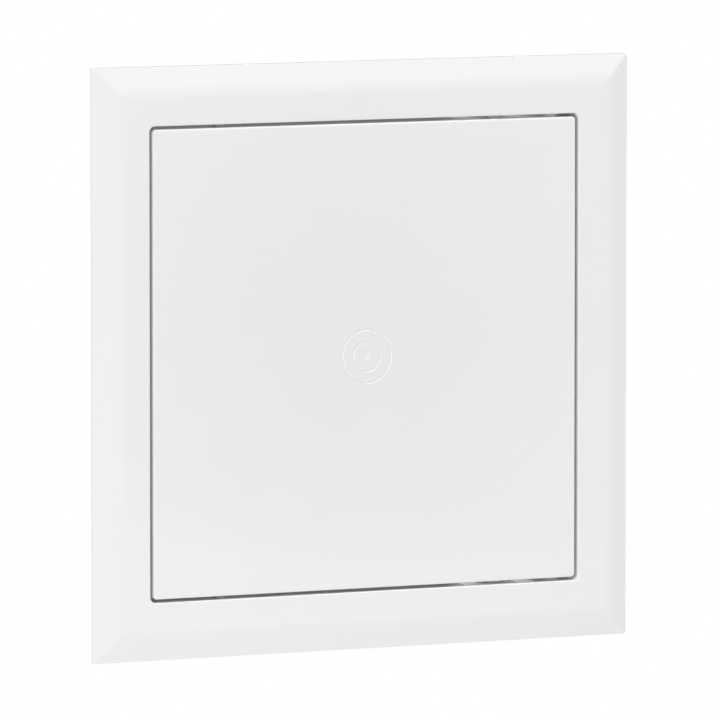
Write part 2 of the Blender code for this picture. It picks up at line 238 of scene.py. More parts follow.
# ABS from a polished mould: a bright neutral white with a wet-looking gloss, whose
# reflections waver a little over patches the width of a thumb.
WHITE_ABS = MouldedPlastic(
    name="moulded white ABS", colour="#EDEDED", flow_colour="#EBEBEB", ior=1.54,
    roughness_low=0.06, roughness_high=0.09, flow_size=22 * MM, ripple_size=9 * MM,
    ripple_height=0.002 * MM)

# Unfilled acetal: a creamy white that looks waxy beside the ABS.
NATURAL_ACETAL = MouldedPlastic(
    name="moulded natural acetal", colour="#DDD9CC", flow_colour="#D6D2C4", ior=1.48,
    roughness_low=0.32, roughness_high=0.42, flow_size=6 * MM, ripple_size=1.5 * MM,
    ripple_height=0.004 * MM)


def on_wall(wall: Wall, place: float, depth: float = 0.0) -> Matrix:
    """Set a feature on one wall of the square.

    Args:
        wall: Wall that carries the feature.
        place: World X of a feature on the top or bottom wall, and world Z on a side wall.
        depth: World Y of the feature's origin.

    Returns:
        A matrix whose X points away from the opening's centre, Y into the wall cavity and Z
        along the wall.
    """
    outwards = Matrix(((0, 0, -1, 0), (0, 1, 0, 0), (1, 0, 0, 0), (0, 0, 0, 1)))
    along = place if wall in (Wall.TOP, Wall.LEFT) else -place
    turn = Matrix.Rotation(math.radians(90 * wall.value), 4, 'Y')
    return turn @ Matrix.Translation((along, depth, 0)) @ outwards


def spread(start: float, end: float, steps: int) -> list[float]:
    """Spread values evenly from start to end, both included."""
    return [start + (end - start) * step / steps for step in range(steps + 1)]


def quarter_round(radius: float, steps: int) -> list[tuple[float, float]]:
    """Round the edge between a side and a front.

    Args:
        radius: Radius of the rounding.
        steps: Steps of its quarter turn.

    Returns:
        Distances in from the side and back from the front, from the side to the front.
    """
    angles = [math.radians(degrees) for degrees in spread(0, 90, steps)]
    return [(radius * (1 - math.cos(angle)), radius * (1 - math.sin(angle))) for angle in angles]


def rectangle(across: tuple[float, float], deep: tuple[float, float]) -> list[tuple[float, float]]:
    """Corners of a rectangle between two values of local X and two of local Y."""
    (left, right), (low, high) = across, deep
    return [(left, low), (right, low), (right, high), (left, high)]


def rounded_square(half: float, radius: float, y: float) -> list[Vector]:
    """Lay out a square with rounded corners.

    Args:
        half: Half its side.
        radius: Radius of its corners.
        y: Plane in which it lies.

    Returns:
        Its points, from one corner's arc to the next.
    """
    points = []
    for corner in range(4):
        turn = math.radians(45 + 90 * corner)
        reach = (half - radius) * math.sqrt(2)
        centre = Vector((reach * math.cos(turn), y, reach * math.sin(turn)))
        for degrees in spread(90 * corner, 90 * corner + 90, CORNER_STEPS):
            angle = math.radians(degrees)
            points.append(centre + radius * Vector((math.cos(angle), 0, math.sin(angle))))
    return points


def link_bmesh(name: str, bm: bmesh.types.BMesh,
               matrix: Matrix | None = None) -> bpy.types.Object:
    """Turn a bmesh into an object in the scene, with its faces pointing out.

    Args:
        name: Name of the object.
        bm: Mesh to take over and free.
        matrix: Where it goes in the world.

    Returns:
        The new object, with its place in its mesh.
    """
    if matrix is not None:
        bm.transform(matrix)
    bmesh.ops.recalc_face_normals(bm, faces=bm.faces)
    mesh = bpy.data.meshes.new(name)
    bm.to_mesh(mesh)
    bm.free()
    made = bpy.data.objects.new(name, mesh)
    bpy.context.scene.collection.objects.link(made)
    return made


def loft_squares(name: str, section: Sequence[tuple[float, float, float]],
                 closed: bool) -> bpy.types.Object:
    """Loft rounded squares along a section.

    Args:
        name: Name of the object.
        section: Half side, y and corner radius of each square.
        closed: Whether the last square joins the first, which makes a frame. Otherwise both
            ends are capped.

    Returns:
        The lofted solid.
    """
    bm = bmesh.new()
    rings = [[bm.verts.new(point) for point in rounded_square(half, radius, y)]
             for half, y, radius in section]
    pairs = list(zip(rings, rings[1:]))
    if closed:
        pairs.append((rings[-1], rings[0]))
    for near, far in pairs:
        for index in range(len(near)):
            after = (index + 1) % len(near)
            bm.faces.new((near[index], near[after], far[after], far[index]))
    if not closed:
        bm.faces.new(rings[0])
        bm.faces.new(rings[-1])
    return link_bmesh(name, bm)


def prism(name: str, outline: Sequence[tuple[float, float]], thickness: float,
          matrix: Matrix) -> bpy.types.Object:
    """Extrude a flat outline to both sides of its plane.

    Args:
        name: Name of the object.
        outline: Points in local X and Y.
        thickness: Thickness along local Z, with half of it on each side.
        matrix: Where it goes in the world.

    Returns:
        The solid.
    """
    bm = bmesh.new()
    face = bm.faces.new([bm.verts.new((x, y, -thickness / 2)) for x, y in outline])
    grown = bmesh.ops.extrude_face_region(bm, geom=[face])["geom"]
    far = [item for item in grown if isinstance(item, bmesh.types.BMVert)]
    bmesh.ops.translate(bm, verts=far, vec=(0, 0, thickness))
    return link_bmesh(name, bm, matrix)


def drum(name: str, radii: tuple[float, float], ends: tuple[float, float],
         matrix: Matrix) -> bpy.types.Object:
    """Make a cylinder or cone along local X.

    Args:
        name: Name of the object.
        radii: Radius at each end.
        ends: Local X of each end.
        matrix: Where it goes in the world.

    Returns:
        The solid drum.
    """
    bm = bmesh.new()
    middle = Matrix.Translation((sum(ends) / 2, 0, 0))
    along = middle @ Matrix.Rotation(math.radians(90), 4, 'Y')
    bmesh.ops.create_cone(bm, cap_ends=True, segments=TURN_STEPS, radius1=radii[0],
                          radius2=radii[1], depth=ends[1] - ends[0], matrix=along)
    return link_bmesh(name, bm, matrix)


def turned(name: str, profile: Sequence[tuple[float, float]], matrix: Matrix) -> bpy.types.Object:
    """Turn a profile about local X.

    Args:
        name: Name of the object.
        profile: Radius and local X of its points, from one end on the axis to the other.
        matrix: Where it goes in the world.

    Returns:
        The turned solid.
    """
    bm = bmesh.new()
    verts = [bm.verts.new((height, 0, radius)) for radius, height in profile]
    edges = [bm.edges.new(pair) for pair in zip(verts, verts[1:])]
    bmesh.ops.spin(bm, geom=verts + edges, cent=(0, 0, 0), axis=(1, 0, 0),
                   angle=math.radians(360), steps=TURN_STEPS, use_merge=True,
                   use_duplicate=False)
    bmesh.ops.remove_doubles(bm, verts=bm.verts, dist=SEAM_DISTANCE)
    return link_bmesh(name, bm, matrix)


def bake(piece: bpy.types.Object) -> None:
    """Put the result of an object's modifiers into its mesh.

    Args:
        piece: Object to change.
    """
    bpy.context.view_layer.update()
    graph = bpy.context.evaluated_depsgraph_get()
    mesh = bpy.data.meshes.new_from_object(piece.evaluated_get(graph), depsgraph=graph)
    piece.modifiers.clear()
    piece.data = mesh


def weld(piece: bpy.types.Object) -> None:
    """Merge the points that a cut or a rounding left on top of each other.

    Args:
        piece: Object to change.
    """
    bm = bmesh.new()
    bm.from_mesh(piece.data)
    bmesh.ops.remove_doubles(bm, verts=bm.verts, dist=WELD_DISTANCE)
    bmesh.ops.dissolve_degenerate(bm, dist=WELD_DISTANCE / 10, edges=bm.edges)
    bm.to_mesh(piece.data)
    bm.free()


def carve(piece: bpy.types.Object, joined: Sequence[bpy.types.Object],
          cut: Sequence[bpy.types.Object]) -> None:
    """Join solids to a piece and cut others from it, then use them up.

    Args:
        piece: Solid that stays.
        joined: Solids that become part of it.
        cut: Solids whose room is taken out of it.
    """
    for operation, operands in (('UNION', joined), ('DIFFERENCE', cut)):
        if not operands:
            continue
        tools = bpy.data.collections.new(f"{piece.name}_{operation}")
        for operand in operands:
            tools.objects.link(operand)
        modifier = piece.modifiers.new(operation, 'BOOLEAN')
        modifier.operation = operation
        modifier.operand_type = 'COLLECTION'
        modifier.collection = tools
    bake(piece)
    weld(piece)
    for operand in [*joined, *cut]:
        bpy.data.objects.remove(operand, do_unlink=True)


def round_edges(piece: bpy.types.Object, edge_break: float) -> None:
    """Break a solid's sharp edges.

    Args:
        piece: Solid to round.
        edge_break: Width of the rounding, in metres.
    """
    bevel = piece.modifiers.new("edges", 'BEVEL')
    bevel.width = edge_break
    bevel.segments = EDGE_BREAK_SEGMENTS
    bevel.limit_method = 'ANGLE'
    bevel.angle_limit = BROKEN_ABOVE
    bake(piece)
    weld(piece)


def shade(piece: bpy.types.Object) -> None:
    """Shade a piece so that its rounds look round and its flats stay flat.

    Args:
        piece: Piece to finish.
    """
    piece.data.shade_smooth()
    piece.data.set_sharp_from_angle(angle=SHARP_ABOVE)
    normals = piece.modifiers.new("flats", 'WEIGHTED_NORMAL')
    normals.keep_sharp = True
    normals.weight = FLAT_WEIGHT
    bake(piece)


def dress(piece: bpy.types.Object, material: bpy.types.Material,
          nodes: Sequence[str]) -> None:
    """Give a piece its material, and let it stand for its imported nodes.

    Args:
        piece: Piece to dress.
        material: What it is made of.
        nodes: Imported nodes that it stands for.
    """
    piece.data.materials.clear()
    piece.data.materials.append(material)
    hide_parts(*nodes)


@dataclass(frozen=True)
class PanelPlaces:
    """Places shared by the sub-assemblies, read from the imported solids.

    Attributes:
        outer_half: Half the flange's outside.
        front_y: Plane of the flange's and the leaf's front.
        collar_end_y: Far end of the collar.
        leaf_half: Half the leaf's side.
        leaf_end_y: Far edge of the leaf's return flange.
        hinge: Point on the leaf's axis.
        latch_x: Middle of the latches.
    """

    outer_half: float
    front_y: float
    collar_end_y: float
    leaf_half: float
    leaf_end_y: float
    hinge: Vector
    latch_x: float

    @classmethod
    def from_frame(cls) -> "PanelPlaces":
        """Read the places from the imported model.

        Returns:
            The places.
        """
        frame_low, frame_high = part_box("frame")
        leaf_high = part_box("door_leaf")[1]
        tongue_low, tongue_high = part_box("latch_tongue_top")
        hinge = next(joint["pos_m"] for joint in frame["joints"] if joint["name"] == "leaf_swing")
        return cls(outer_half=frame_high.x, front_y=frame_low.y, collar_end_y=frame_high.y,
                   leaf_half=leaf_high.x, leaf_end_y=leaf_high.y, hinge=Vector(hinge),
                   latch_x=(tongue_low.x + tongue_high.x) / 2)

    def hinge_place(self, wall: Wall) -> Matrix:
        """Place of the hinge on the top or bottom wall, with local X along its axis."""
        return on_wall(wall, self.hinge.x, self.hinge.y)

    def hinge_drums(self, radius: float, ends: tuple[float, float]) -> list[bpy.types.Object]:
        """Make a drum on the leaf's axis at the top wall and one at the bottom wall.

        Args:
            radius: Radius of the drums.
            ends: Distances of their ends from the opening's centre.

        Returns:
            The two drums.
        """
        return [drum(f"hinge_{wall.name}", (radius, radius), ends, self.hinge_place(wall))
                for wall in (Wall.TOP, Wall.BOTTOM)]

    def cutters(self, bore_radius: float, bore_ends: tuple[float, float],
                outline: Sequence[tuple[float, float]], width: float) -> list[bpy.types.Object]:
        """Make the cutters for the pins' bores and for the latches.

        Args:
            bore_radius: Radius of the bores.
            bore_ends: Distances of their ends from the opening's centre.
            outline: Side view of a latch's hole, in local X and Y.
            width: Width of that hole along the wall.

        Returns:
            Bore and hole of the top wall, then those of the bottom wall.
        """
        bores = self.hinge_drums(bore_radius, bore_ends)
        holes = [prism(f"latch_{wall.name}", outline, width, on_wall(wall, self.latch_x))
                 for wall in (Wall.TOP, Wall.BOTTOM)]
        return [cutter for pair in zip(bores, holes) for cutter in pair]


@dataclass
class FrameMoulding:
    """Flange and collar in one moulding, with gussets, hinge bosses, windows, stops and holes."""

    places: PanelPlaces
    leaf_gap: float = 1.0 * MM
    corner_radius: float = 1.8 * MM  # corner of the opening
    edge_radius: float = 0.6 * MM  # rounding of the opening's front edge
    outer_corner_radius: float = 0.6 * MM  # corner of the flange's outside
    skin: float = 1.8 * MM  # thickness of the flange's front
    bevel_width: float = 5.4 * MM  # width of the flange's sloping border
    bevel_ease: float = 4.4 * MM  # width over which the flat band eases into it
    bevel_degrees: float = 19.0
    back_land: float = 3.0 * MM  # width of the flange's rim that lies on the wall
    collar_wall: float = 1.6 * MM
    window_width: float = 24.0 * MM
    window_to_skin: float = 0.4 * MM  # from the flange's skin to the window
    window_to_end: float = 3.5 * MM  # from the window to the collar's end
    boss_radius: float = 4.5 * MM
    boss_height: float = 2.2 * MM  # how far it stands out of the collar
    bore_radius: float = 2.3 * MM
    stop_width: float = 9.0 * MM
    stop_reach: float = 2.4 * MM  # how far it reaches into the opening
    stop_thickness: float = 1.2 * MM  # its thickness at the tip
    stop_slope: float = 2.8 * MM  # how much thicker it is at the root
    stop_gap: float = 0.3 * MM  # gap to the leaf or wall that meets it
    gusset_thickness: float = 1.2 * MM
    gusset_from_window: float = 9.0 * MM  # from a latch window to the nearest gusset
    gusset_reach: float = 2.2 * MM  # how far its key stands out of the collar
    gusset_key_depth: float = 4.7 * MM  # how deep the key is before it slopes away
    gusset_depth: float = 14.0 * MM  # where it ends on the collar
    screw_radius: float = 2.1 * MM
    screw_head_radius: float = 3.6 * MM  # radius of its countersink at the collar's inner face
    countersink: float = 1.0 * MM  # its depth
    screw_from_end: float = 5.0 * MM  # from the hole to the collar's end
    screw_from_centre: float = 46.0 * MM  # from the hole to the middle of its wall
    edge_break: float = 0.15 * MM  # rounding of all other edges

    @property
    def opening_half(self) -> float:
        """Half the clear opening."""
        return self.places.leaf_half + self.leaf_gap

    @property
    def collar_half(self) -> float:
        """Half the outside of the collar."""
        return self.opening_half + self.collar_wall

    @property
    def flat_half(self) -> float:
        """Half the square where the flat band starts to ease into the bevel."""
        return self.places.outer_half - self.bevel_width - self.bevel_ease

    @property
    def through_wall(self) -> tuple[float, float]:
        """Reach of a cutter that passes through the collar's wall."""
        return (self.opening_half - self.collar_wall, self.collar_half + self.collar_wall)

    def section(self) -> list[tuple[float, float, float]]:
        """Lay out the closed section, from the opening's front edge outwards and round the back.

        Returns:
            Half side, y and corner radius of each square of the loft.
        """
        front, opening, end = self.places.front_y, self.opening_half, self.places.collar_end_y
        section = [(opening + inset, front + drop, self.corner_radius + inset)
                   for inset, drop in quarter_round(self.edge_radius, EDGE_STEPS)]
        bevel = math.radians(self.bevel_degrees)
        ease_radius = self.bevel_ease / math.sin(bevel)
        for angle in spread(0, bevel, EASE_STEPS):
            section.append((self.flat_half + ease_radius * math.sin(angle),
                            front + ease_radius * (1 - math.cos(angle)), self.outer_corner_radius))
        drop = self.bevel_ease * math.tan(bevel / 2) + self.bevel_width * math.tan(bevel)
        outer, corner, under = self.places.outer_half, self.outer_corner_radius, front + self.skin
        collar_corner = self.corner_radius + self.collar_wall
        section += [(outer, front + drop, corner), (outer, 0, corner),
                    (outer - self.back_land, 0, corner), (self.flat_half, under, corner),
                    (self.collar_half, under, collar_corner),
                    (self.collar_half, end, collar_corner), (opening, end, self.corner_radius)]
        return section

    def gussets(self) -> list[bpy.types.Object]:
        """Make the fins that stiffen the flange and key the collar into the cut-out.

        Returns:
            Five fins on each wall.
        """
        under = self.places.front_y + self.skin - OVERLAP
        root = self.collar_half - OVERLAP
        rim = self.flat_half + OVERLAP
        fin = self.collar_half + self.gusset_reach
        outline = [(root, under), (rim, under), (rim, -self.stop_gap), (fin, -self.stop_gap),
                   (fin, self.gusset_key_depth), (root, self.gusset_depth)]
        inner = self.places.latch_x - self.window_width / 2 - self.gusset_from_window
        outer = (self.places.latch_x + self.window_width / 2 + self.opening_half) / 2
        return [prism(f"gusset_{wall.name}_{number}", outline, self.gusset_thickness,
                      on_wall(wall, place))
                for wall in Wall for number, place in enumerate((-outer, -inner, 0, inner, outer))]

    def stops(self) -> list[bpy.types.Object]:
        """Make the wedges behind the leaf's free edge, which stop it flush with the flange.

        Returns:
            Four wedges on the right wall.
        """
        face = self.places.leaf_end_y + self.stop_gap
        tip = self.opening_half - self.stop_reach
        root = self.opening_half + OVERLAP
        outline = [(root, face), (tip, face), (tip, face + self.stop_thickness),
                   (root, face + self.stop_thickness + self.stop_slope)]
        inner = self.screw_from_centre / 2
        outer = (self.screw_from_centre + self.opening_half) / 2
        return [prism(f"stop_{number}", outline, self.stop_width, on_wall(Wall.RIGHT, place))
                for number, place in enumerate((-outer, -inner, inner, outer))]

    def bores_and_windows(self) -> list[bpy.types.Object]:
        """Make the cutters for the pins' bores and the latch windows.

        Returns:
            The cutters of the top wall, then those of the bottom wall.
        """
        boss_top = self.collar_half + self.boss_height
        window = rectangle(self.through_wall,
                           (self.places.front_y + self.skin + self.window_to_skin,
                            self.places.collar_end_y - self.window_to_end))
        return self.places.cutters(self.bore_radius,
                                   (self.through_wall[0], boss_top + self.collar_wall),
                                   window, self.window_width)

    def screw_holes(self) -> list[bpy.types.Object]:
        """Make the cutters for the countersunk screw holes.

        Returns:
            The cutters of the two side walls.
        """
        depth = self.places.collar_end_y - self.screw_from_end
        cutters = []
        for wall in (Wall.RIGHT, Wall.LEFT):
            for place in (-self.screw_from_centre, self.screw_from_centre):
                screw = on_wall(wall, place, depth)
                cutters.append(drum("screw_hole", (self.screw_radius, self.screw_radius),
                                    self.through_wall, screw))
                cutters.append(drum("countersink",
                                    (self.screw_head_radius + OVERLAP, self.screw_radius),
                                    (self.opening_half - OVERLAP,
                                     self.opening_half + self.countersink), screw))
        return cutters

    def build(self, material: bpy.types.Material) -> bpy.types.Object:
        """Mould the frame and set it on its body.

        Args:
            material: Finish of the moulding.

        Returns:
            The frame.
        """
        piece = loft_squares("frame_moulding", self.section(), closed=True)
        joined = self.gussets() + self.stops()
        for solid in [piece, *joined]:
            round_edges(solid, self.edge_break)
        boss_ends = (self.collar_half - OVERLAP, self.collar_half + self.boss_height)
        joined += self.places.hinge_drums(self.boss_radius, boss_ends)
        carve(piece, joined, self.bores_and_windows() + self.screw_holes())
        shade(piece)
        dress(piece, material, ["frame"])
        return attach(piece, "frame")


@dataclass
class LeafMoulding:
    """Leaf with a return flange, crossing ribs, hinge lugs and latch holes."""

    places: PanelPlaces
    corner_radius: float = 1.2 * MM
    edge_radius: float = 0.7 * MM  # rounding of its front edge
    skin: float = 2.0 * MM
    wall: float = 1.6 * MM  # thickness of its return flange
    draft: float = 0.1 * MM  # how much narrower the return flange is at its end
    rib_thickness: float = 1.2 * MM
    rib_height: float = 3.2 * MM  # how far it stands behind the skin
    ribs_each_way: int = 3
    lug_radius: float = 4.2 * MM
    lug_height: float = 2.0 * MM  # how far it stands into the leaf
    bore_radius: float = 2.3 * MM
    latch_setback: float = 8.0 * MM  # from the front to the middle of a latch hole
    latch_hole: tuple[float, float] = (4.6 * MM, 3.6 * MM)  # its width and depth
    mark_radii: tuple[float, float] = (8.3 * MM, 4.6 * MM)  # ring grooves round the gate
    mark_groove: float = 0.4 * MM  # radius of a groove's section
    mark_depth: float = 0.25 * MM  # depth of the grooves and of the dimple
    dimple_radius: float = 1.2 * MM
    edge_break: float = 0.12 * MM  # rounding of all other edges

    @property
    def inner_half(self) -> float:
        """Half the room inside the return flange."""
        return self.places.leaf_half - self.wall

    @property
    def lug_face(self) -> float:
        """Distance of a lug's inner face from the opening's centre."""
        return self.inner_half - self.lug_height

    def section(self) -> list[tuple[float, float, float]]:
        """Lay out the open section, from the front face over its edge and round the return.

        Returns:
            Half side, y and corner radius of each square of the loft.
        """
        half, front, end = self.places.leaf_half, self.places.front_y, self.places.leaf_end_y
        section = [(half - inset, front + drop, self.corner_radius - inset)
                   for inset, drop in reversed(quarter_round(self.edge_radius, EDGE_STEPS))]
        inner_corner = self.corner_radius - self.edge_radius
        section += [(half - self.draft, end, self.corner_radius),
                    (self.inner_half, end, inner_corner),
                    (self.inner_half - self.draft, front + self.skin, inner_corner)]
        return section

    def ribs(self) -> list[bpy.types.Object]:
        """Make the ribs that cross behind the skin.

        Returns:
            The upright ribs, then the level ones.
        """
        low = self.places.front_y + self.skin - OVERLAP
        high = self.places.front_y + self.skin + self.rib_height
        reach = self.inner_half + OVERLAP
        outline = rectangle((-reach, reach), (low, high))
        pitch = 2 * self.inner_half / (self.ribs_each_way + 1)
        return [prism(f"rib_{wall.name}_{number}", outline, self.rib_thickness,
                      on_wall(wall, pitch * (number + 1) - self.inner_half))
                for wall in (Wall.TOP, Wall.RIGHT) for number in range(self.ribs_each_way)]

    def mark_cutters(self) -> list[bpy.types.Object]:
        """Make the cutters for the ring grooves and the dimple round the gate.

        Returns:
            The cutters, which lie in the middle of the front.
        """
        upright = (math.radians(90), 0, 0)
        front = self.places.front_y
        cutters = []
        for radius in self.mark_radii:
            bpy.ops.mesh.primitive_torus_add(
                major_radius=radius, minor_radius=self.mark_groove, major_segments=RING_STEPS,
                minor_segments=GROOVE_STEPS, rotation=upright,
                location=(0, front - self.mark_groove + self.mark_depth, 0))
            cutters.append(bpy.context.object)
        ball = (self.dimple_radius ** 2 + self.mark_depth ** 2) / (2 * self.mark_depth)
        bpy.ops.mesh.primitive_uv_sphere_add(
            radius=ball, segments=DIMPLE_STEPS, ring_count=RING_STEPS, rotation=upright,
            location=(0, front - ball + self.mark_depth, 0))
        cutters.append(bpy.context.object)
        return cutters

    def bores_and_latch_holes(self) -> list[bpy.types.Object]:
        """Make the cutters for the lugs' bores and the latch holes.

        Returns:
            The cutters of the upper edge, then those of the lower edge.
        """
        outside = self.places.leaf_half + self.wall
        middle = self.places.front_y + self.latch_setback
        width, depth = self.latch_hole
        hole = rectangle((self.inner_half - self.wall, outside),
                         (middle - depth / 2, middle + depth / 2))
        return self.places.cutters(self.bore_radius, (self.lug_face - self.wall, outside), hole,
                                   width)

    def build(self, material: bpy.types.Material) -> bpy.types.Object:
        """Mould the leaf and set it on its body.

        Args:
            material: Finish of the moulding.

        Returns:
            The leaf.
        """
        piece = loft_squares("leaf_moulding", self.section(), closed=False)
        lugs = self.places.hinge_drums(self.lug_radius, (self.lug_face, self.inner_half + OVERLAP))
        carve(piece, self.ribs() + lugs, self.mark_cutters() + self.bores_and_latch_holes())
        round_edges(piece, self.edge_break)
        shade(piece)
        dress(piece, material, ["door_leaf"])
        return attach(piece, "leaf")


@dataclass
class HingePin:
    """Headed pin, pushed from inside the leaf's lug into the frame's boss."""

    wall: Wall
    places: PanelPlaces
    radius: float = 2.0 * MM
    head_radius: float = 3.2 * MM
    head_height: float = 1.2 * MM
    chamfer: float = 0.4 * MM  # chamfer of the shank's end, and rounding of the head
    edge_break: float = 0.1 * MM  # rounding of all other edges

    @property
    def node(self) -> str:
        """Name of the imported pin."""
        return f"hinge_pin_{self.wall.name.lower()}"

    def build(self, material: bpy.types.Material) -> bpy.types.Object:
        """Turn the pin and set it on the frame's body.

        Args:
            material: Finish of the pin.

        Returns:
            The pin.
        """
        low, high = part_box(self.node)
        near, far = sorted((abs(low.z), abs(high.z)))
        collar = near + self.head_height
        crown = [(self.head_radius - inset, near + drop)
                 for inset, drop in quarter_round(self.chamfer, CROWN_STEPS)]
        profile = [(0, far), (self.radius - self.chamfer, far), (self.radius, far - self.chamfer),
                   (self.radius, collar), (self.head_radius, collar), *crown, (0, near)]
        piece = turned(f"{self.node}_turned", profile, self.places.hinge_place(self.wall))
        round_edges(piece, self.edge_break)
        shade(piece)
        dress(piece, material, [self.node])
        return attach(piece, "frame")


@dataclass
class SnapTongue:
    """Snap tongue in the middle of a latch window, fused with the collar at its root."""

    wall: Wall
    places: PanelPlaces
    opening_half: float  # half the clear opening, where its inner face lies
    width: float = 12.3 * MM
    root_thickness: float = 1.5 * MM
    tip_thickness: float = 1.2 * MM
    taper_start: float = 2.8 * MM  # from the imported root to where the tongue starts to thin
    root_gap: float = 0.3 * MM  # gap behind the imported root, which the fused root fills
    bend_length: float = 5.0 * MM
    bump_width: float = 4.0 * MM
    bump_base: float = 3.0 * MM  # depth of the bump at its foot
    bump_top: float = 1.0 * MM  # depth of the bump at its top
    bump_setback: float = 8.0 * MM  # from the front to the middle of the bump
    slices: int = 12  # along the tongue, so that it bends smoothly
    edge_break: float = 0.12 * MM  # rounding of its edges

    @property
    def node(self) -> str:
        """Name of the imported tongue."""
        return f"latch_tongue_{self.wall.name.lower()}"

    def plate_outline(self) -> list[tuple[float, float]]:
        """Lay out the side view of the plate, in slices so that it can bend.

        Returns:
            Points in local X and Y, over the outer face and back along the inner one.
        """
        low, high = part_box(self.node)
        tip_y, end_y, root_y = low.y, high.y + self.root_gap, high.y - self.taper_start
        thicker = self.root_thickness - self.tip_thickness
        outer = []
        for y in spread(tip_y, end_y, self.slices):
            share = min(1.0, (y - tip_y) / (root_y - tip_y))
            outer.append((self.opening_half + self.tip_thickness + share * thicker, y))
        return outer + [(self.opening_half, y) for y in spread(end_y, tip_y, self.slices)]

    def bump_outline(self) -> list[tuple[float, float]]:
        """Lay out the side view of the bump, with sloping flanks.

        Returns:
            Points in local X and Y.
        """
        low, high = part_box(self.node)
        tip = min(abs(low.z), abs(high.z))
        middle = self.places.front_y + self.bump_setback
        root = self.opening_half + OVERLAP
        return [(root, middle - self.bump_base / 2), (root, middle + self.bump_base / 2),
                (self.opening_half, middle + self.bump_base / 2),
                (tip, middle + self.bump_top / 2), (tip, middle - self.bump_top / 2),
                (self.opening_half, middle - self.bump_base / 2)]

    def build(self, material: bpy.types.Material) -> bpy.types.Object:
        """Mould the tongue and bake its place into its mesh.

        Args:
            material: Finish of the moulding.

        Returns:
            The tongue.
        """
        place = on_wall(self.wall, self.places.latch_x)
        piece = prism(f"{self.node}_moulding", self.plate_outline(), self.width, place)
        bump = prism(f"bump_{self.wall.name}", self.bump_outline(), self.bump_width, place)
        carve(piece, [bump], [])
        round_edges(piece, self.edge_break)
        shade(piece)
        dress(piece, material, [self.node])
        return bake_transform(piece)


@dataclass(frozen=True)
class Softbox:
    """Square lamp that shines on the panel.

    Attributes:
        name: Name of the lamp.
        location: Where it hangs, in metres from the centre of the opening.
        side: Its side, in metres.
        watts: Its power.
    """

    name: str
    location: tuple[float, float, float]
    side: float
    watts: float


def aim(name: str, data: bpy.types.ID, location: Vector, target: Vector) -> bpy.types.Object:
    """Put a camera or lamp in the scene and turn it towards a point.

    Args:
        name: Name of the object.
        data: The camera or lamp.
        location: Where it stands.
        target: Point that it looks at or shines on.

    Returns:
        The object that holds it.
    """
    holder = bpy.data.objects.new(name, data)
    bpy.context.scene.collection.objects.link(holder)
    holder.location = location
    holder.rotation_euler = (target - location).to_track_quat('-Z', 'Y').to_euler()
    return holder


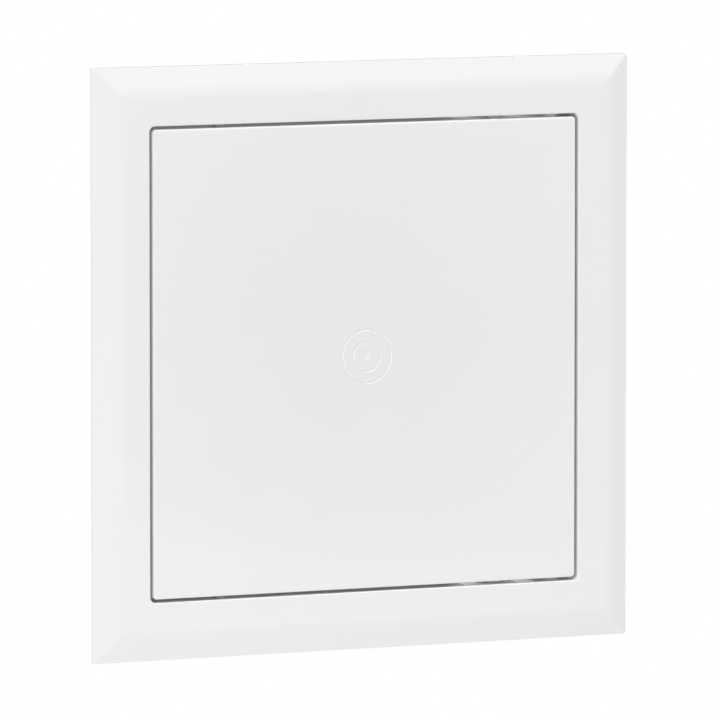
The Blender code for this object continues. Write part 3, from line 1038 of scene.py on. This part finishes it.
@dataclass
class Studio:
    """Pale floor, white surroundings, softboxes, a dark card and the camera.

    Attributes:
        subject: Middle of the leaf's front, at which everything aims.
        lowest: Height of the panel's lowest point.
        camera_azimuth: Degrees that the camera stands round from the front, negative to the left.
        camera_elevation: Degrees that it stands above the subject.
        camera_distance: Metres from the subject.
        focal_pixels: Focal length in pixels of the picture.
        picture_pixels: Side of the picture in pixels.
        sensor: Side of the camera's sensor, in millimetres.
        offset_pixels: Where the subject lies, right of and above the middle of the picture.
        fill: Strength of the light that comes evenly from all round.
        surround_colour: Colour that the surroundings show and mirror, as sRGB hex.
        rear_colour: Colour of the dim room behind the panel, which the walls of its gaps mirror.
        rear_direction: Where the middle of that room lies, as a unit vector.
        rear_reach: Cosines of the angles from there at which it starts and is darkest.
        floor_colour: Colour of the floor, as sRGB hex.
        floor_roughness: Roughness of the floor.
        floor_drop: How far the floor lies below the panel.
        floor_side: Side of the floor.
        card_distance: Metres from the leaf to the dark card, which only its gloss shows.
        card_radius: Radius of the card, in metres.
        card_centre: Middle of the card, right of and above the middle of its mirror image.
        card_spot: Darkest spot of the card, likewise.
        card_fade: Distance from that spot at which the card is as white as the studio.
        softboxes: The lamps.
    """

    subject: Vector
    lowest: float
    camera_azimuth: float = -25.4
    camera_elevation: float = 5.3
    camera_distance: float = 2.922
    focal_pixels: float = 9453.0
    picture_pixels: int = 720
    sensor: float = 36.0
    offset_pixels: tuple[float, float] = (6.7, 3.8)
    fill: float = 0.71
    surround_colour: str = "#FFFFFF"
    rear_colour: str = "#827B73"
    rear_direction: tuple[float, float, float] = (0.42, 0.80, -0.43)
    rear_reach: tuple[float, float] = (0.33, 0.70)
    floor_colour: str = "#F4F4F2"
    floor_roughness: float = 0.9
    floor_drop: float = 0.75
    floor_side: float = 1.6
    card_distance: float = 0.30
    card_radius: float = 250 * MM
    card_centre: tuple[float, float] = (5 * MM, 181 * MM)
    card_spot: tuple[float, float] = (-14 * MM, 5 * MM)
    card_fade: float = 138 * MM
    softboxes: tuple[Softbox, ...] = (
        Softbox("overhead_softbox", (0.10, -0.45, 1.88), side=0.9, watts=9.5),
        Softbox("edge_softbox", (0.83, -0.35, 1.72), side=0.5, watts=7.6),
        Softbox("left_softbox", (-1.95, -1.25, 0.45), side=1.1, watts=9.4),
        Softbox("low_softbox", (-0.30, -0.48, -0.70), side=0.8, watts=2.1),
        Softbox("rear_left_softbox", (-1.9, 0.75, 0.05), side=0.9, watts=7.5),
        Softbox("rear_right_softbox", (1.5, 1.5, 0.05), side=0.9, watts=5.5),
    )

    @property
    def towards_camera(self) -> Vector:
        """Direction from the subject to the camera.

        Returns:
            A unit vector.
        """
        azimuth = math.radians(self.camera_azimuth)
        elevation = math.radians(self.camera_elevation)
        return Vector((math.sin(azimuth) * math.cos(elevation),
                       -math.cos(azimuth) * math.cos(elevation), math.sin(elevation)))

    def add_camera(self) -> None:
        """Set the camera where the photograph was taken from."""
        back = self.towards_camera
        azimuth = math.radians(self.camera_azimuth)
        right = Vector((math.cos(azimuth), math.sin(azimuth), 0))
        across, up = self.offset_pixels
        pixel = self.camera_distance / self.focal_pixels
        target = self.subject - pixel * (across * right + up * back.cross(right))
        camera = bpy.data.cameras.new("camera")
        camera.sensor_width = self.sensor
        camera.lens = self.focal_pixels / self.picture_pixels * self.sensor
        location = target + back * self.camera_distance
        bpy.context.scene.camera = aim("camera", camera, location, target)

    def add_softboxes(self) -> None:
        """Hang the softboxes."""
        for softbox in self.softboxes:
            lamp = bpy.data.lights.new(softbox.name, 'AREA')
            lamp.shape = 'SQUARE'
            lamp.size = softbox.side
            lamp.energy = softbox.watts
            aim(softbox.name, lamp, Vector(softbox.location), self.subject)

    def add_surroundings(self) -> None:
        """Make a world that looks and mirrors white, except for a dim room behind the panel."""
        world = bpy.data.worlds.new("white studio")
        bpy.context.scene.world = world
        world.use_nodes = True
        tree = world.node_tree
        tree.nodes.clear()
        path = add_node(tree, "ShaderNodeLightPath")
        seen = add_node(tree, "ShaderNodeMath", {
            0: path.outputs["Is Camera Ray"], 1: path.outputs["Is Glossy Ray"],
        }, operation='MAXIMUM')
        seen = add_node(tree, "ShaderNodeMath", {
            0: seen.outputs[0], 1: path.outputs["Is Transmission Ray"],
        }, operation='MAXIMUM')
        strength = add_node(tree, "ShaderNodeMapRange", {
            "Value": seen.outputs[0], "To Min": self.fill, "To Max": 1.0,
        })
        towards = add_node(tree, "ShaderNodeTexCoord")
        share = add_node(tree, "ShaderNodeVectorMath", {
            0: towards.outputs["Generated"], 1: self.rear_direction,
        }, operation='DOT_PRODUCT')
        behind = add_node(tree, "ShaderNodeMapRange", {
            "Value": share.outputs["Value"], "From Min": self.rear_reach[0],
            "From Max": self.rear_reach[1],
        }, interpolation_type='SMOOTHSTEP')
        unseen = add_node(tree, "ShaderNodeMath", {
            0: 1.0, 1: path.outputs["Is Camera Ray"],
        }, operation='SUBTRACT')
        dim = add_node(tree, "ShaderNodeMath", {
            0: behind.outputs[0], 1: unseen.outputs[0],
        }, operation='MULTIPLY')
        colour = mix_colours(tree, dim.outputs[0], self.surround_colour, self.rear_colour)
        light = add_node(tree, "ShaderNodeBackground", {
            "Color": colour, "Strength": strength.outputs[0],
        })
        add_node(tree, "ShaderNodeOutputWorld", {"Surface": light.outputs[0]})

    def add_card(self) -> None:
        """Hold up the round card whose soft dark image lies in the leaf's gloss."""
        back = self.towards_camera
        mirrored = Vector((-back.x, back.y, -back.z))
        across = Vector((0, 0, 1)).cross(mirrored).normalized()
        up = mirrored.cross(across)
        bm = bmesh.new()
        middle = Vector((*self.card_centre, 0)) - Vector((*self.card_spot, 0))
        bmesh.ops.create_circle(bm, cap_ends=True, segments=RING_STEPS, radius=self.card_radius,
                                matrix=Matrix.Translation(middle))
        card = link_bmesh("dark_card", bm)
        origin = self.subject + mirrored * self.card_distance
        origin += across * self.card_spot[0] + up * self.card_spot[1]
        axes = Matrix((across, up, -mirrored)).transposed().to_4x4()
        card.matrix_world = Matrix.Translation(origin) @ axes
        material = bpy.data.materials.new("dark card that fades to white")
        material.use_nodes = True
        tree = material.node_tree
        tree.nodes.clear()
        place = add_node(tree, "ShaderNodeTexCoord")
        reach = add_node(tree, "ShaderNodeVectorMath", {0: place.outputs["Object"]},
                         operation='LENGTH')
        fade = add_node(tree, "ShaderNodeMapRange", {
            "Value": reach.outputs["Value"], "From Max": self.card_fade,
        }, interpolation_type='SMOOTHSTEP')
        glow = add_node(tree, "ShaderNodeEmission", {"Strength": fade.outputs[0]})
        add_node(tree, "ShaderNodeOutputMaterial", {"Surface": glow.outputs[0]})
        card.data.materials.append(material)
        card.visible_camera = False
        card.visible_diffuse = False
        card.visible_transmission = False
        card.visible_shadow = False

    def add_floor(self) -> None:
        """Lay a pale matt floor below the panel, which hangs as on its wall."""
        bm = bmesh.new()
        bmesh.ops.create_grid(bm, x_segments=1, y_segments=1, size=self.floor_side / 2)
        floor = link_bmesh("floor", bm, Matrix.Translation((0, 0, self.lowest - self.floor_drop)))
        material = bpy.data.materials.new("pale matt floor")
        material.use_nodes = True
        shader = material.node_tree.nodes["Principled BSDF"]
        shader.inputs["Base Color"].default_value = linear_colour(self.floor_colour)
        shader.inputs["Roughness"].default_value = self.floor_roughness
        floor.data.materials.append(material)

    def build(self) -> None:
        """Set up the whole studio."""
        self.add_camera()
        self.add_softboxes()
        self.add_surroundings()
        self.add_card()
        self.add_floor()
        bpy.context.scene.view_settings.view_transform = 'Standard'


def main() -> None:
    """Build the panel and its studio, piece by piece."""
    logging.basicConfig(level=logging.INFO, format="%(message)s")
    places = PanelPlaces.from_frame()
    white = WHITE_ABS.material()
    natural = NATURAL_ACETAL.material()

    moulding = FrameMoulding(places)
    pieces = [moulding.build(white), LeafMoulding(places).build(white)]
    for wall in (Wall.TOP, Wall.BOTTOM):
        pieces.append(HingePin(wall, places).build(natural))
        pieces.append(SnapTongue(wall, places, moulding.opening_half).build(white))
    for piece in pieces:
        log.info("%s: %d faces", piece.name, len(piece.data.polygons))

    Studio(subject=Vector((0, places.front_y, 0)), lowest=-places.outer_half).build()


if __name__ == "__main__":
    main()
